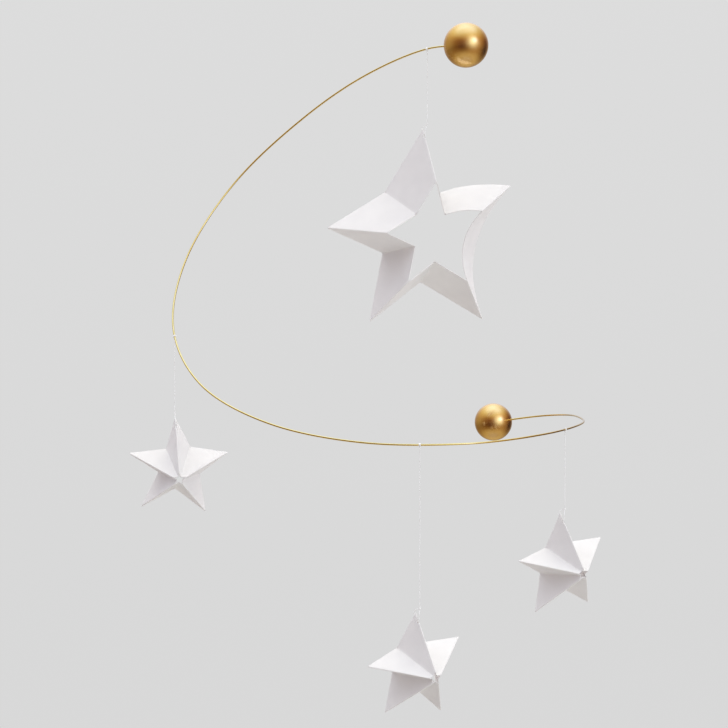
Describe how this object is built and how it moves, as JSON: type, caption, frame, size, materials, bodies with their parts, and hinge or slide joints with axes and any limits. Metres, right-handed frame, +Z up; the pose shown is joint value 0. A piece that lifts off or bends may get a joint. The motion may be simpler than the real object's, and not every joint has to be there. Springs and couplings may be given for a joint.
{
  "type": "hanging mobile",
  "caption": "Hanging mobile: a sweeping thin wire with a gold ball at each end carries a large open folded-card star and small folded stars on fine threads.",
  "frame": {"origin": "the middle of the wire at the point by which the whole mobile hangs, where the large star's thread is tied", "axes": "+Z up against gravity, -Y towards the viewer of the stars' open fronts, +X to the viewer's right"},
  "size_m": [0.3106, 0.2593, 0.4402],
  "materials": {
    "brass_wire": "bright drawn wire",
    "gold_ball": "satin gold, finely brushed, metallic all over",
    "white_card": "matt white card, creased at the folds",
    "white_thread": "fine twisted white thread"
  },
  "bodies": {
    "root": {"wire": "brass_wire", "top_ball": "gold_ball", "lower_ball": "gold_ball", "large_star": "white_card", "left_star": "white_card", "bottom_star": "white_card", "right_star": "white_card", "large_thread": "white_thread", "left_thread": "white_thread", "bottom_thread": "white_thread", "right_thread": "white_thread"}
  },
  "joints": []
}
